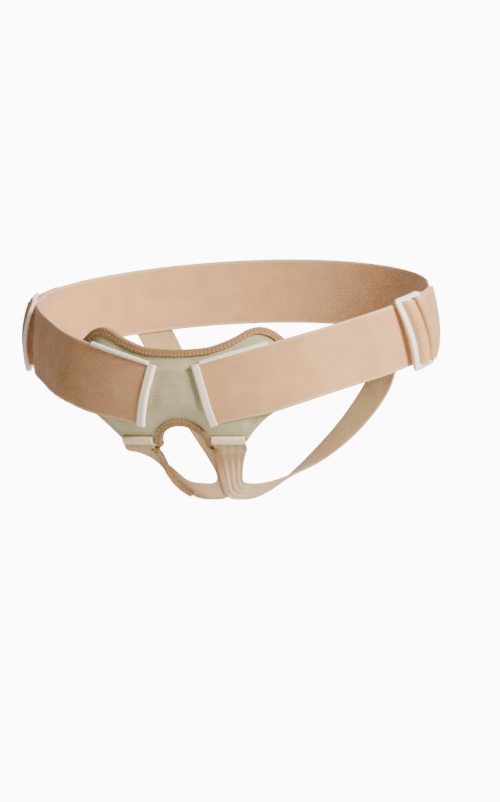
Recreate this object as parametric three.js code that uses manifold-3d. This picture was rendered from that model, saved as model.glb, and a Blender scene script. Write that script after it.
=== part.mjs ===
// Double-sided hernia belt in the shape that it has when worn, in millimetres.
// +Z is up, the front faces -Y, and the wearer's left is +X. The origin is in the middle of
// the hollow that the belt goes round, level with the sewn ends of the two front strips.
import * as THREE from 'three';
import { mergeVertices } from 'three/addons/utils/BufferGeometryUtils.js';
import Module from 'manifold-3d';

const wasm = await Module();
wasm.setup();

// Hollow
const hollowHalfWidth = 170;
const hollowHalfDepth = 115;
const groinTop = 5;
const groinFall = 42;
const groinDepth = 17;

// Layers
const gap = 0.3;
const sewnGap = 0.6;
const elasticThickness = 2;
const tapeThickness = 1;

// Front plate
const plateHalfWidth = 93;
const plateMiddleHeight = 37;
const earHeight = 56;
const tabOuterHalfWidth = 54.5;
const tabDrop = 38.5;
const plateRimThickness = 3.4;
const plateThickness = 6;
const notchHalfWidth = 21;
const notchTopDrop = 21.7;
const bindingReach = 4.7;

// Front strips
const stripWidth = 54;
const stripEndAround = 26;
const stripRise = THREE.MathUtils.degToRad(16.5);
const stripSettle = 62;
const stripEndEase = 5.5;
const stripEaseLength = 60;
const endTapeWidth = 6.5;
const topTapeWidth = 3.4;
const tapeLip = 3.6;
const topTapeShort = 16;
const tapeCorner = 0.6;
const lipCorner = 0.4;
const tapeSteps = 8;

// Leg straps
const legStrapWidth = 28;
const legStrapThickness = 2;
const legStrapTopDrop = 33;
const legStrapInnerGap = 0.6;
const tabBarWidth = 4.6;
const tabBarLip = 2.4;
const ribCount = 4;
const ribHeight = 1.3;
const crotchDepth = 80;
const hemReach = 3.2;

// Hip slides
const slideRun = 190;
const slideHeight = 62;
const slideThickness = 3.6;
const slideBar = 5;
const slideFrontSlot = 6;
const slideRearSlot = 8.4;
const slideCorner = 3;
const slideEdge = 0.7;
const slideLift = 5;
const slideBow = 5;
const slideLean = 3;

// Back belt
const foldLength = 34;
const foldClear = 6;
const stripTailLength = 18.5;

// Shape of the hollow: an upright ellipse whose front falls back below the groin
const girth = new THREE.EllipseCurve(
  0, 0, hollowHalfWidth, hollowHalfDepth, -Math.PI / 2, 1.5 * Math.PI);
girth.arcLengthDivisions = 720;
const girthLength = girth.getLength();

function hollowWall(around, height) {
  const share = THREE.MathUtils.euclideanModulo(around / girthLength, 1);
  const point = girth.getPointAt(share);
  const tangent = girth.getTangentAt(share);
  const facingFront = Math.max(tangent.x, 0);
  const fall = Math.max(groinTop - height, 0) / groinFall;
  const back = groinDepth * fall ** 2 * facingFront ** 2;
  return new THREE.Vector3(point.x, point.y + back, height);
}

// A point `out` millimetres outside the hollow's wall
function onWall(around, height, out) {
  const step = 0.05;
  const across = hollowWall(around + step, height).sub(hollowWall(around - step, height));
  const up = hollowWall(around, height + step).sub(hollowWall(around, height - step));
  const normal = across.cross(up).normalize();
  return hollowWall(around, height).addScaledVector(normal, out);
}

// Centre line of the belt on the wall: straight over the hips, then levelling off to the
// middle of the back and on to the other hip
const hipAround = stripEndAround + slideRun * Math.cos(stripRise);
const backRadius = (girthLength / 2 - hipAround) / Math.sin(stripRise);
const backLength = 2 * backRadius * stripRise;

function beltLine(run) {
  const turned = THREE.MathUtils.clamp(run - slideRun, 0, backLength) / backRadius;
  const straight = run - turned * backRadius;
  const angle = stripRise - turned;
  const farSide = run > slideRun + backLength ? -1 : 1;
  const rise = farSide > 0 ? straight : 2 * slideRun - straight;
  return {
    around: stripEndAround + straight * Math.cos(stripRise)
      + backRadius * (Math.sin(stripRise) - Math.sin(angle)),
    height: rise * Math.sin(stripRise)
      + backRadius * (Math.cos(angle) - Math.cos(stripRise)),
    angle,
  };
}

// How far a hip slide, and what passes over it, stands off: bowed outwards along its length
// and lower end furthest out
function slideStand(run, across, out) {
  const farRun = 2 * slideRun + backLength - run;
  const fromSlide = Math.min(Math.abs(run - slideRun), Math.abs(farRun - slideRun));
  const near = THREE.MathUtils.smoothstep(2 * foldLength - fromSlide, 0, foldLength);
  const lifted = THREE.MathUtils.clamp(out / slideLift, 0, 1);
  const along = across / (slideHeight / 2);
  return near * lifted * (slideBow * (1 - along ** 2) - slideLean * along);
}

// A front strip is eased in towards its sewn end, so that its lower edge rises there
function onBelt(run, across, out) {
  const line = beltLine(run);
  const ease = stripEndEase * (1 - THREE.MathUtils.smoothstep(run, 0, stripEaseLength));
  const eased = across + ease * (0.5 - across / stripWidth);
  return onWall(
    line.around - eased * Math.sin(line.angle),
    line.height + eased * Math.cos(line.angle),
    out + slideStand(run, across, out));
}

// Moves each vertex of a flat piece to its place, and closes the piece
function shaped(flat, place) {
  const bare = flat.clone();
  bare.deleteAttribute('normal');
  bare.deleteAttribute('uv');
  const piece = mergeVertices(bare, 1e-4);
  const position = piece.attributes.position;
  for (let i = 0; i < position.count; i += 1) {
    const point = place(position.getX(i), position.getY(i), position.getZ(i));
    position.setXYZ(i, point.x, point.y, point.z);
  }
  piece.computeVertexNormals();
  return piece;
}

// Extruded outline: `steps` slices from 0 to `length`
function swept(outline, length, steps) {
  return new THREE.ExtrudeGeometry(outline, { depth: length, steps, bevelEnabled: false });
}

// Reads a table at `at` by smooth interpolation between its rows
function readTable(rows, key, at, column) {
  let i = 0;
  while (i < rows.length - 2 && at > rows[i + 1][key]) i += 1;
  const slope = (j) => {
    const before = rows[Math.max(j - 1, 0)];
    const after = rows[Math.min(j + 1, rows.length - 1)];
    return (after[column] - before[column]) / (after[key] - before[key]);
  };
  const span = rows[i + 1][key] - rows[i][key];
  const t = THREE.MathUtils.clamp((at - rows[i][key]) / span, 0, 1);
  const a = rows[i][column];
  const b = rows[i + 1][column];
  return a * (1 + 2 * t) * (1 - t) ** 2 + b * t * t * (3 - 2 * t)
    + span * (slope(i) * t * (1 - t) ** 2 - slope(i + 1) * t * t * (1 - t));
}

// Plate: top edge as shares of the half width and of the rise from its middle to the ears
const topEdgeTable = [
  { across: 0, rise: 0 },
  { across: 0.3, rise: 0.12 },
  { across: 0.52, rise: 0.5 },
  { across: 0.67, rise: 0.9 },
  { across: 0.77, rise: 1 },
  { across: 0.88, rise: 0.84 },
  { across: 1, rise: 0.4 },
];

// Plate: side of the lower edge, outwards from a tab, as shares of the way to the side and
// of the tab's drop
const lowEdgeTable = [
  { across: 0, drop: 0.93 },
  { across: 0.25, drop: 0.68 },
  { across: 0.6, drop: 0.4 },
  { across: 1, drop: 0.16 },
];

function plateTop(around) {
  const across = Math.abs(around) / plateHalfWidth;
  const rise = readTable(topEdgeTable, 'across', across, 'rise');
  return plateMiddleHeight + rise * (earHeight - plateMiddleHeight);
}

const notchHeight = tabDrop - notchTopDrop;

function plateBottom(around) {
  const distance = Math.abs(around);
  if (distance < notchHalfWidth) {
    return notchHeight * Math.sqrt(1 - (distance / notchHalfWidth) ** 2) - tabDrop;
  }
  if (distance < tabOuterHalfWidth) {
    const share = (distance - notchHalfWidth) / (tabOuterHalfWidth - notchHalfWidth);
    return -tabDrop * THREE.MathUtils.lerp(1, lowEdgeTable[0].drop, share);
  }
  const share = (distance - tabOuterHalfWidth) / (plateHalfWidth - tabOuterHalfWidth);
  return -tabDrop * readTable(lowEdgeTable, 'across', share, 'drop');
}

const plateInner = tapeThickness + 2 * gap;
const puffWidth = 12;
const rimMargin = 4.5;
const rimWidth = bindingReach + rimMargin;

function plateOuter(around, height) {
  const notchShare = Math.hypot(around / notchHalfWidth, (height + tabDrop) / notchHeight);
  const fromEdge = Math.min(
    plateTop(around) - height,
    height - plateBottom(around),
    plateHalfWidth - Math.abs(around),
    (notchShare - 1) * Math.min(notchHalfWidth, notchHeight));
  const puff = THREE.MathUtils.smoothstep(fromEdge, rimWidth, rimWidth + puffWidth);
  return plateInner + THREE.MathUtils.lerp(plateRimThickness, plateThickness, puff);
}

// Columns of the plate's grid: an even turn round each side of the notch, then even steps
const notchColumns = 8;
const sideColumns = 14;
const plateRows = 9;

function columnAround(column) {
  const step = Math.abs(column);
  const notch = Math.sin(Math.min(step / notchColumns, 1) * Math.PI / 2) * notchHalfWidth;
  const beyond = Math.max(step - notchColumns, 0) / sideColumns;
  return Math.sign(column) * (notch + beyond * (plateHalfWidth - notchHalfWidth));
}

function frontPlate() {
  const columns = 2 * (notchColumns + sideColumns);
  const grid = new THREE.BoxGeometry(columns, plateRows, 1, columns, plateRows, 1);
  return shaped(grid, (column, row, layer) => {
    const around = columnAround(Math.round(column));
    const bottom = plateBottom(around);
    const height = bottom + (row / plateRows + 0.5) * (plateTop(around) - bottom);
    return onWall(around, height, layer < 0 ? plateInner : plateOuter(around, height));
  });
}

// Tape folded over an edge: x grows outwards past the edge, y is the distance off the wall
function foldedTape() {
  const inside = plateInner - gap;
  const outside = plateInner + plateRimThickness + gap;
  const far = gap + tapeThickness;
  const tape = new THREE.Shape();
  tape.moveTo(-bindingReach, inside - tapeThickness);
  tape.lineTo(far - tapeCorner, inside - tapeThickness);
  tape.lineTo(far, inside);
  tape.lineTo(far, outside);
  tape.lineTo(far - tapeCorner, outside + tapeThickness);
  tape.lineTo(-bindingReach, outside + tapeThickness);
  tape.lineTo(-bindingReach, outside);
  tape.lineTo(gap, outside);
  tape.lineTo(gap, inside);
  tape.lineTo(-bindingReach, inside);
  tape.closePath();
  return tape;
}

// Runs the folded tape along an edge given by its points and outward directions on the wall
function bindingAlong(edge, steps) {
  return shaped(swept(foldedTape(), steps, steps), (past, out, step) => {
    const { around, height, aside, up } = edge(step / steps);
    return onWall(around + past * aside, height + past * up, out);
  });
}

// Both bindings step round the plate with its own columns, so that they follow its facets
function topBinding() {
  const columns = notchColumns + sideColumns;
  return bindingAlong((share) => {
    const around = columnAround(Math.round((2 * share - 1) * columns));
    const slope = plateTop(around + 0.5) - plateTop(around - 0.5);
    const size = Math.hypot(slope, 1);
    return { around, height: plateTop(around), aside: -slope / size, up: 1 / size };
  }, 2 * columns);
}

function notchBinding() {
  return bindingAlong((share) => {
    const angle = share * Math.PI;
    const aside = Math.cos(angle) / notchHalfWidth;
    const up = Math.sin(angle) / notchHeight;
    const size = Math.hypot(aside, up);
    return {
      around: notchHalfWidth * Math.cos(angle),
      height: notchHeight * Math.sin(angle) - tabDrop,
      aside: -aside / size,
      up: -up / size,
    };
  }, 2 * notchColumns);
}

// Elastic straps are drawn in side view, as a centre line of (run, out) points
const strapSlices = 5;
const restOut = gap + elasticThickness / 2;
const plateOut = plateInner + plateThickness + sewnGap + elasticThickness / 2;

function strap(centreLine) {
  const last = centreLine.length - 1;
  const flat = new THREE.BoxGeometry(last, strapSlices, 1, last, strapSlices, 1);
  return shaped(flat, (along, slice, side) => {
    const i = Math.round(along + last / 2);
    const ahead = centreLine[Math.min(i + 1, last)].clone()
      .sub(centreLine[Math.max(i - 1, 0)]).normalize();
    const off = side * elasticThickness;
    return onBelt(
      centreLine[i].x - ahead.y * off,
      stripWidth * slice / strapSlices,
      centreLine[i].y + ahead.x * off);
  });
}

// Points after one run and up to another, `out` a number or a function of the run
function stretch(from, to, count, out) {
  return Array.from({ length: count }, (_, i) => {
    const run = THREE.MathUtils.lerp(from, to, (i + 1) / count);
    return new THREE.Vector2(run, typeof out === 'number' ? out : out(run));
  });
}

// Points of a short table of runs from one place and distances off another
function placed(rows, run, out) {
  return rows.map((row) => new THREE.Vector2(run + row.run, out + row.out));
}

// Slide's bars along the run, from its front edge
const slideLength = 3 * slideBar + slideFrontSlot + slideRearSlot;
const slideFront = slideRun - slideLength / 2;
const middleBarStart = slideFront + slideBar + slideFrontSlot;
const rearBarStart = middleBarStart + slideBar + slideRearSlot;
const turnClear = gap + elasticThickness / 2;

// Half turn over a bar, from one side of it to the other, with rounded corners
const turnRadius = 2;
const cornerSteps = 4;

function overBar(barStart) {
  const top = slideLift + slideThickness + turnClear;
  const turns = [];
  for (let i = 0; i <= cornerSteps; i += 1) {
    const angle = Math.PI * (1 - i / (2 * cornerSteps));
    turns.push(new THREE.Vector2(
      barStart - turnClear + turnRadius * (1 + Math.cos(angle)),
      top + turnRadius * (Math.sin(angle) - 1)));
  }
  const middle = barStart + slideBar / 2;
  const mirrored = turns.map((point) => new THREE.Vector2(2 * middle - point.x, point.y));
  return [...turns, ...mirrored.reverse()];
}

// The strip's upper edge is the last of it to pass the plate's side
const stripLeavesPlate = gap + (plateHalfWidth - stripEndAround
  + stripWidth / 2 * Math.sin(stripRise)) / Math.cos(stripRise);
const stripMeetsHollow = stripLeavesPlate + stripSettle;

// Front strip's rise to the middle bar, from the front bar's rear edge, and its way down
// behind the middle bar; `out` is from where the strip rests on the hollow
const climb = [{ run: -3, out: 0 }, { run: 1.2, out: 1.4 }];
const descent = [{ run: 0.6, out: 3.1 }, { run: 2.6, out: 0.8 }, { run: 5.3, out: 0 }];

// Front strip: off the plate, under the slide's front bar, over its middle bar and down
function frontStrip() {
  const settle = (run) => THREE.MathUtils.lerp(plateOut, restOut,
    THREE.MathUtils.smoothstep(run, stripLeavesPlate, stripMeetsHollow));
  const [foot, ...rising] = placed(climb, slideFront + slideBar, restOut);
  const falling = placed(descent, middleBarStart + slideBar + turnClear, restOut);
  const tailStart = falling[falling.length - 1].x;
  return strap([
    ...stretch(-stripLeavesPlate / 9, stripLeavesPlate, 10, plateOut),
    ...stretch(stripLeavesPlate, stripMeetsHollow, 10, settle),
    ...stretch(stripMeetsHollow, foot.x, 6, restOut),
    ...rising,
    ...overBar(middleBarStart),
    ...falling,
    ...stretch(tailStart, tailStart + stripTailLength, 3, restOut),
  ]);
}

// Back belt's fold settling on its outside behind the rear bar, and its way down through the
// rear slot to lie under that bar
const foldSettle = [{ run: 16, out: 0 }, { run: 9, out: 1.2 }];
const slotDescent = [{ run: -1.3, out: 2 }, { run: -0.65, out: 0.3 }, { run: 1.4, out: 0 }];

// Back belt: each end comes up behind the tail, over the slide's rear bar and back on itself
function backBeltEnd() {
  const underOut = restOut + elasticThickness + gap;
  const foldOut = underOut + elasticThickness + gap;
  const foldStart = rearBarStart + slideBar;
  const settled = placed(foldSettle, foldStart, foldOut);
  const down = placed(slotDescent, rearBarStart, underOut);
  const underEnd = foldStart + foldLength - foldClear;
  return [
    new THREE.Vector2(foldStart + foldLength, foldOut),
    ...stretch(foldStart + foldLength, settled[0].x, 3, foldOut),
    ...settled.slice(1),
    ...overBar(rearBarStart).reverse(),
    ...down,
    ...stretch(down[down.length - 1].x, underEnd, 5, underOut),
  ];
}

function backBelt() {
  const end = backBeltEnd();
  const whole = 2 * slideRun + backLength;
  const otherEnd = end.map((point) => new THREE.Vector2(whole - point.x, point.y));
  const backStart = end[end.length - 1].x;
  const middle = stretch(backStart, whole - backStart, 24, restOut).slice(0, -1);
  return strap([...end, ...middle, ...otherEnd.reverse()]);
}

// Tape sewn over a strap's edge: a foot past the edge and a lip on the strap. x is the
// distance past the edge and y the distance off the wall
function edgeTape(foot, lip, strapLow) {
  const strapTop = strapLow + elasticThickness;
  const top = strapTop + gap + tapeThickness;
  const tape = new THREE.Shape();
  tape.moveTo(gap, strapLow);
  tape.lineTo(gap + foot, strapLow);
  tape.lineTo(gap + foot, top - tapeCorner);
  tape.lineTo(gap + foot - tapeCorner, top);
  tape.lineTo(-lip + lipCorner, top);
  tape.lineTo(-lip, top - lipCorner);
  tape.lineTo(-lip, strapTop + gap);
  tape.lineTo(gap, strapTop + gap);
  tape.closePath();
  return tape;
}

const stripLow = plateOut - elasticThickness / 2;

function stripEndTape() {
  const outline = edgeTape(endTapeWidth - tapeLip, tapeLip, stripLow);
  return shaped(swept(outline, stripWidth, tapeSteps),
    (past, out, across) => onBelt(-past, across - stripWidth / 2, out));
}

function stripTopTape() {
  const lip = topTapeWidth / 2;
  const start = tapeLip + gap;
  const outline = edgeTape(topTapeWidth - lip, lip, stripLow);
  return shaped(swept(outline, stripLeavesPlate - topTapeShort - start, tapeSteps),
    (past, out, run) => onBelt(start + run, stripWidth / 2 + past, out));
}

// Leg strap: laid on the outside of the tab, along its inner edge's binding
const legLow = plateInner + plateRimThickness + sewnGap;
const legInner = notchHalfWidth + bindingReach + legStrapInnerGap;
const legMiddle = legInner + legStrapWidth / 2;

function tabBar() {
  const outline = edgeTape(tabBarWidth - tabBarLip, tabBarLip, legLow);
  return shaped(swept(outline, legStrapWidth, tapeSteps / 2),
    (past, out, along) => onWall(legInner + along, past - legStrapTopDrop, out));
}

// Route between the legs and up over the seat, as shares of the hollow's half width and half
// depth and of the crotch's depth. `side`, `front` and `up` are the way that the strap faces,
// and `wide` is its width as a share of that at the tab
const legRoute = [
  { x: 0.213, y: -0.76, z: -0.595, side: 0.4, front: 0.75, up: -0.5, wide: 0.9, rib: 0.9 },
  { x: 0.165, y: -0.58, z: -0.79, side: 0.8, front: 0.4, up: -0.4, wide: 0.86, rib: 1 },
  { x: 0.118, y: -0.36, z: -0.96, side: 0.8, front: 0.2, up: -0.55, wide: 0.68, rib: 0.6 },
  { x: 0.095, y: -0.08, z: -1, side: 0.8, front: 0, up: -0.6, wide: 0.6, rib: 0.2 },
  { x: 0.11, y: 0.2, z: -0.98, side: 0.75, front: -0.2, up: -0.62, wide: 0.6, rib: 0 },
  { x: 0.165, y: 0.47, z: -0.86, side: 0.6, front: -0.5, up: -0.6, wide: 0.65, rib: 0 },
  { x: 0.27, y: 0.7, z: -0.62, side: 0.35, front: -0.75, up: -0.5, wide: 0.75, rib: 0 },
  { x: 0.41, y: 0.84, z: -0.27, side: 0.25, front: -0.9, up: -0.35, wide: 0.88, rib: 0 },
  { x: 0.54, y: 0.88, z: 0.14, side: 0.33, front: -0.93, up: -0.15, wide: 1, rib: 0 },
];

// Where it is sewn on the back belt, and the part of it beyond the tab
const legSeamShare = 0.27;
const legSeamRun = slideRun + backLength * legSeamShare;
const legSeamOverlap = 26;
const legSeamFree = 10;
const legSeamLean = THREE.MathUtils.degToRad(28);
const tabOverhang = 0.5;
const legSteps = 30;
const legColumns = 8;

// Hem's ends as shares of the leg strap's length, and the fold's broken corner
const hemStartShare = 1 / (legRoute.length + 3);
const hemEndShare = 0.32;
const hemCorner = 0.5;
const hemSteps = 10;

// Sews a strap's end on the wall: its middle and both its edges lie on it, and it leans
// towards the hip as it rises
function sewnRow(around, height, out, lean) {
  const [left, middle, right] = [-0.5, 0, 0.5].map((side) => onWall(
    around + side * legStrapWidth * Math.cos(lean),
    height + side * legStrapWidth * Math.sin(lean),
    out));
  return { left, middle, right, rib: 0 };
}

function freeRow(row, before, after) {
  const middle = routePoint(row);
  const facing = new THREE.Vector3(row.side, -row.front, row.up);
  const across = after.clone().sub(before).cross(facing)
    .setLength(legStrapWidth * row.wide / 2);
  return {
    left: middle.clone().add(across),
    middle,
    right: middle.clone().sub(across),
    rib: row.rib,
  };
}

function routePoint({ x, y, z }) {
  return new THREE.Vector3(x * hollowHalfWidth, y * hollowHalfDepth, z * crotchDepth);
}

function legRows() {
  const tabOut = legLow + legStrapThickness / 2;
  const seam = beltLine(legSeamRun);
  const seamLow = seam.height - stripWidth / 2;
  const seamOut = restOut + elasticThickness / 2 + sewnGap + legStrapThickness / 2;
  const tabRows = [legStrapTopDrop, tabDrop + tabOverhang].map(
    (drop) => sewnRow(legMiddle, -drop, tabOut, 0));
  const seamRows = [-legSeamFree, legSeamOverlap].map((above) => sewnRow(
    seam.around - above * Math.tan(legSeamLean), seamLow + above, seamOut, legSeamLean));
  const stops = [tabRows[1].middle, ...legRoute.map(routePoint), seamRows[0].middle];
  const freeRows = legRoute.map((row, i) => freeRow(row, stops[i], stops[i + 2]));
  return [...tabRows, ...freeRows, ...seamRows.map(
    ({ left, middle, right, rib }) => ({ left: right, middle, right: left, rib }))];
}

const rowsOfLeg = legRows();
const [legLeft, legCentre, legRight] = ['left', 'middle', 'right'].map(
  (line) => new THREE.CatmullRomCurve3(rowsOfLeg.map((row) => row[line])));

// A point on the leg strap: `side` is -1 at the edge beside the notch and 1 at the other,
// past -1 or 1 in the plane of that edge, and `off` is the distance off its middle surface
function onLegStrap(share, side, past, off) {
  const [left, middle, right] = [legLeft, legCentre, legRight].map((line) => line.getPoint(share));
  const across = right.clone().sub(left);
  const outward = across.clone().cross(legCentre.getTangent(share)).normalize().negate();
  return left.multiplyScalar(side * (side - 1) / 2)
    .addScaledVector(middle, 1 - side * side)
    .addScaledVector(right, side * (side + 1) / 2)
    .addScaledVector(across.normalize(), past * side)
    .addScaledVector(outward, off);
}

function legStrap() {
  const flat = new THREE.BoxGeometry(legSteps, legColumns, 1, legSteps, legColumns, 1);
  return shaped(flat, (step, column, layer) => {
    const share = step / legSteps + 0.5;
    const side = column / (legColumns / 2);
    const at = Math.min(share * (rowsOfLeg.length - 1), rowsOfLeg.length - 1.0001);
    const rib = THREE.MathUtils.lerp(
      rowsOfLeg[Math.floor(at)].rib, rowsOfLeg[Math.floor(at) + 1].rib, at % 1);
    const fromHem = (side + 1) / 2 * legStrapWidth - hemReach;
    const wave = THREE.MathUtils.smoothstep(fromHem, 0, hemReach)
      * rib * ribHeight * Math.cos(ribCount * Math.PI * (side + 1)) / 2;
    return onLegStrap(share, side, 0, layer * legStrapThickness + wave);
  });
}

// Hem: the notch's tape carried on down the leg strap's inner edge, folded over it
function legHem() {
  const inside = legStrapThickness / 2 + sewnGap;
  const outside = inside + tapeThickness;
  const far = gap + tapeThickness;
  const tape = new THREE.Shape();
  tape.moveTo(-hemReach, -outside);
  tape.lineTo(far - hemCorner, -outside);
  tape.lineTo(far, -inside);
  tape.lineTo(far, inside);
  tape.lineTo(far - hemCorner, outside);
  tape.lineTo(-hemReach, outside);
  tape.lineTo(-hemReach, inside);
  tape.lineTo(gap, inside);
  tape.lineTo(gap, -inside);
  tape.lineTo(-hemReach, -inside);
  tape.closePath();
  return shaped(swept(tape, hemSteps, hemSteps), (past, off, step) => {
    const share = THREE.MathUtils.lerp(hemEndShare, hemStartShare, step / hemSteps);
    return onLegStrap(share, -1, past, off);
  });
}

// Joins closed pieces into one
function joined(pieces) {
  const solids = pieces.map((piece) => new wasm.Manifold(new wasm.Mesh({
    numProp: 3,
    vertProperties: piece.attributes.position.array,
    triVerts: new Uint32Array(piece.index.array),
  })));
  const { vertProperties, triVerts } = solids.reduce((all, solid) => all.add(solid)).getMesh();
  const geometry = new THREE.BufferGeometry();
  geometry.setAttribute('position', new THREE.BufferAttribute(vertProperties, 3));
  geometry.setIndex(new THREE.BufferAttribute(triVerts, 1));
  geometry.computeVertexNormals();
  return geometry;
}

// Hip slide: a frame with a middle bar. Its bars are drawn in side view, as (run, out)
// rectangles with broken corners
function barSection(start, length) {
  const low = slideLift;
  const high = slideLift + slideThickness;
  const section = new THREE.Shape();
  section.moveTo(start + slideEdge, low);
  section.lineTo(start + length - slideEdge, low);
  section.lineTo(start + length, low + slideEdge);
  section.lineTo(start + length, high - slideEdge);
  section.lineTo(start + length - slideEdge, high);
  section.lineTo(start + slideEdge, high);
  section.lineTo(start, high - slideEdge);
  section.lineTo(start, low + slideEdge);
  section.closePath();
  return section;
}

function hipSlide() {
  const slotHalf = stripWidth / 2 + 2 * gap;
  const barHalf = slotHalf + gap;
  const endWidth = slideHeight / 2 - slotHalf;
  const bars = [slideFront, middleBarStart, rearBarStart].map((start) => shaped(
    swept(barSection(start, slideBar), 2 * barHalf, 6),
    (run, out, across) => onBelt(run, barHalf - across, out)));
  const ends = [slotHalf, -slideHeight / 2].map((low) => shaped(
    swept(barSection(slideFront, slideLength), endWidth, 2),
    (run, out, slice) => {
      const across = low + endWidth - slice;
      const atTip = Math.abs(Math.abs(across) - slideHeight / 2) < gap ? 1 : 0;
      const middle = slideFront + slideLength / 2;
      const narrowed = 1 - atTip * 2 * slideCorner / slideLength;
      return onBelt(middle + (run - middle) * narrowed, across, out);
    }));
  return joined([...bars, ...ends]);
}

function finish(color, roughness) {
  return new THREE.MeshStandardMaterial({ color, roughness, metalness: 0 });
}

const plateCloth = finish(0xc4c6b8, 0.95);
const bindingTape = finish(0xc69a74, 0.9);
const elastic = finish(0xcfa27c, 0.9);
const whiteTape = finish(0xf0eae0, 0.85);
const creamTape = finish(0xf0e8cc, 0.85);
const creamCloth = finish(0xd0c09a, 0.95);
const creamPlastic = finish(0xeae2d6, 0.45);

const herniaBelt = new THREE.Group();

function add(name, geometry, material, side = 1) {
  const mesh = new THREE.Mesh(geometry, material);
  mesh.name = name;
  mesh.scale.x = side;
  herniaBelt.add(mesh);
}

add('front_plate', frontPlate(), plateCloth);
add('top_binding', topBinding(), bindingTape);
add('notch_binding', notchBinding(), bindingTape);
add('back_belt', backBelt(), elastic);

const pairs = [
  { name: 'front_strip', geometry: frontStrip(), material: elastic },
  { name: 'strip_end_tape', geometry: stripEndTape(), material: whiteTape },
  { name: 'strip_top_tape', geometry: stripTopTape(), material: whiteTape },
  { name: 'tab_bar', geometry: tabBar(), material: creamTape },
  { name: 'leg_strap', geometry: legStrap(), material: creamCloth },
  { name: 'leg_hem', geometry: legHem(), material: bindingTape },
  { name: 'hip_slide', geometry: hipSlide(), material: creamPlastic },
];

for (const { name, geometry, material } of pairs) {
  add(`${name}_left`, geometry, material);
  add(`${name}_right`, geometry, material, -1);
}

export default herniaBelt;
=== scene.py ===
import bisect
import math

import bmesh
import bpy
from mathutils import Matrix, Vector, noise


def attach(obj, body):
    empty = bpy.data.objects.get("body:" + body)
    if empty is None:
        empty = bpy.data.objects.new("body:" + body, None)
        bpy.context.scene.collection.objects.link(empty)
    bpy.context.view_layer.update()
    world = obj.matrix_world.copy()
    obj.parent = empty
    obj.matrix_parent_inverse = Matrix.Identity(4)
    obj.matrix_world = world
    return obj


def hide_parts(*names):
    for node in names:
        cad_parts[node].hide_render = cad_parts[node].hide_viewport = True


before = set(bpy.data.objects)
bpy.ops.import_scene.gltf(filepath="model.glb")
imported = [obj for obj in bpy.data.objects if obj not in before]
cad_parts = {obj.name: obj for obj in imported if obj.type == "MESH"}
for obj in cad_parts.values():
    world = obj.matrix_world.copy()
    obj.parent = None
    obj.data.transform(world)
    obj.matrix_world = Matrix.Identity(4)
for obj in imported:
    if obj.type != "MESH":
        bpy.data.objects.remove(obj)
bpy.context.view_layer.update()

# Double-sided hernia belt in the shape that it has when worn. +Z is up, the front faces -Y,
# and the wearer's left is +X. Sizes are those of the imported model, in metres.
MM = 0.001

# Hollow
HOLLOW_HALF_WIDTH = 170 * MM
HOLLOW_HALF_DEPTH = 115 * MM
GROIN_TOP = 5 * MM
GROIN_FALL = 42 * MM
GROIN_DEPTH = 17 * MM

# Layers
GAP = 0.3 * MM
SEWN_GAP = 0.6 * MM
ELASTIC_THICKNESS = 2 * MM
TAPE_THICKNESS = 1 * MM

# Front plate
PLATE_HALF_WIDTH = 93 * MM
PLATE_MIDDLE_HEIGHT = 37 * MM
EAR_HEIGHT = 56 * MM
TAB_OUTER_HALF_WIDTH = 54.5 * MM
TAB_DROP = 38.5 * MM
PLATE_RIM_THICKNESS = 3.4 * MM
PLATE_THICKNESS = 6 * MM
NOTCH_HALF_WIDTH = 21 * MM
NOTCH_TOP_DROP = 21.7 * MM
BINDING_REACH = 4.7 * MM

# Front strips
STRIP_WIDTH = 54 * MM
SELVEDGE_WIDTH = 2.2 * MM
STRIP_END_AROUND = 26 * MM
STRIP_RISE = math.radians(16.5)
STRIP_SETTLE = 62 * MM
STRIP_END_EASE = 5.5 * MM
STRIP_EASE_LENGTH = 60 * MM
END_TAPE_WIDTH = 6.5 * MM
TOP_TAPE_WIDTH = 3.4 * MM
TAPE_LIP = 3.6 * MM
TOP_TAPE_SHORT = 16 * MM

# Leg straps
LEG_STRAP_WIDTH = 28 * MM
LEG_STRAP_THICKNESS = 2 * MM
LEG_STRAP_TOP_DROP = 33 * MM
LEG_STRAP_INNER_GAP = 0.6 * MM
TAB_BAR_WIDTH = 4.6 * MM
TAB_BAR_LIP = 2.4 * MM
RIB_COUNT = 4
RIB_SWELL = 0.975 * MM
CROTCH_DEPTH = 80 * MM
LEG_SEAM_SHARE = 0.27
LEG_SEAM_OVERLAP = 26 * MM
LEG_SEAM_FREE = 10 * MM
LEG_SEAM_LEAN = math.radians(28)
TAB_OVERHANG = 0.5 * MM
HEM_REACH = 3.2 * MM
HEM_END_SHARE = 0.32

# Hip slides
SLIDE_RUN = 190 * MM
SLIDE_HEIGHT = 62 * MM
SLIDE_THICKNESS = 3.6 * MM
SLIDE_BAR = 5 * MM
SLIDE_FRONT_SLOT = 6 * MM
SLIDE_REAR_SLOT = 8.4 * MM
SLIDE_CORNER = 3 * MM
SLIDE_EDGE = 0.9 * MM
SLIDE_LIFT = 5 * MM
SLIDE_BOW = 5 * MM
SLIDE_LEAN = 3 * MM

# Back belt
FOLD_LENGTH = 34 * MM
STRIP_TAIL_LENGTH = 23.8 * MM

SIDES = (("left", 1), ("right", -1))


def clamp(value, low, high):
    return max(low, min(high, value))


def lerp(low, high, share):
    return low + (high - low) * share


def smoothstep(value, low, high):
    share = clamp((value - low) / (high - low), 0, 1)
    return share * share * (3 - 2 * share)


# Shape of the hollow: an upright ellipse whose front falls back below the groin
GIRTH_STEPS = 720


def girth_point(turn):
    angle = math.tau * turn - math.pi / 2
    return HOLLOW_HALF_WIDTH * math.cos(angle), HOLLOW_HALF_DEPTH * math.sin(angle)


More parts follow.
